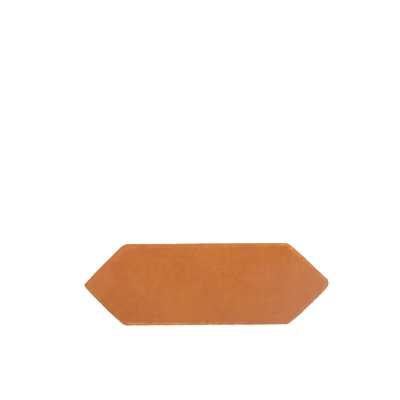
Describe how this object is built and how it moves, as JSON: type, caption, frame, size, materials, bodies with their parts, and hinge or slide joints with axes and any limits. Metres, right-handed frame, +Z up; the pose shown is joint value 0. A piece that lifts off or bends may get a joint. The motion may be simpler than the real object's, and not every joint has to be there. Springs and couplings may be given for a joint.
{
  "type": "terracotta picket floor tile",
  "caption": "Long hexagonal fired-clay floor tile with blunt points at both ends, a smooth upper face, eased edges and a flat back for bedding in mortar.",
  "frame": {"origin": "middle of the bed face, on the floor", "axes": "+X along the tile's length towards its blunter point, +Y across its width, +Z up through the wear face"},
  "size_m": [0.3, 0.1, 0.02],
  "materials": {
    "terracotta": "matt unglazed fired clay"
  },
  "bodies": {
    "root": {"picket_tile": "terracotta"}
  },
  "joints": []
}
